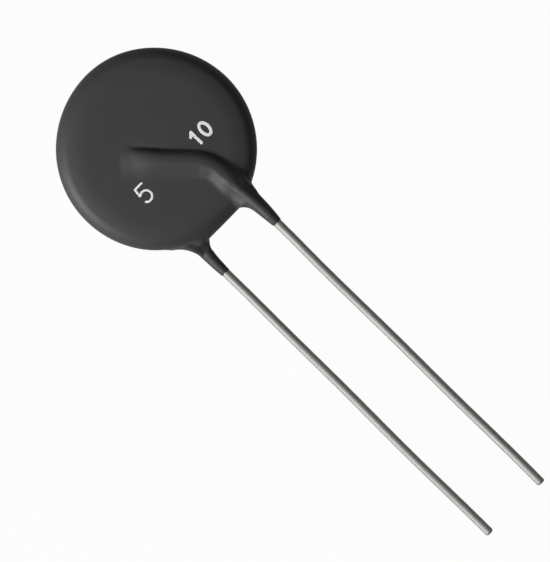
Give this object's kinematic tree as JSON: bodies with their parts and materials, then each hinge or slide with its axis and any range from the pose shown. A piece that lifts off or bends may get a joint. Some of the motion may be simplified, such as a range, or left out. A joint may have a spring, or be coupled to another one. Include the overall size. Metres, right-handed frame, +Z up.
{
  "type": "inrush current limiter",
  "caption": "Disc thermistor for limiting inrush current: black dipped disc with a wire ridge on each face and parallel tinned wire leads from opposite faces.",
  "frame": {"origin": "middle of the overall box, on the surface that the part lies on", "axes": "+Z up, out of the front face; the leads run along -Y; +X is to the right when the front faces the viewer and the leads point down"},
  "size_m": [0.022, 0.0665, 0.0058],
  "materials": {
    "coating": "matte black dipped coating",
    "ceramic": "dark sintered oxide ceramic",
    "silver": "fired silver, dull",
    "solder": "reflowed solder, satin",
    "tinned_wire": "tinned copper wire, satin",
    "print": "white printed ink"
  },
  "bodies": {
    "root": {"coating": "coating", "ceramic_pellet": "ceramic", "front_electrode": "silver", "back_electrode": "silver", "front_solder": "solder", "back_solder": "solder", "front_lead": "tinned_wire", "back_lead": "tinned_wire"}
  },
  "joints": []
}
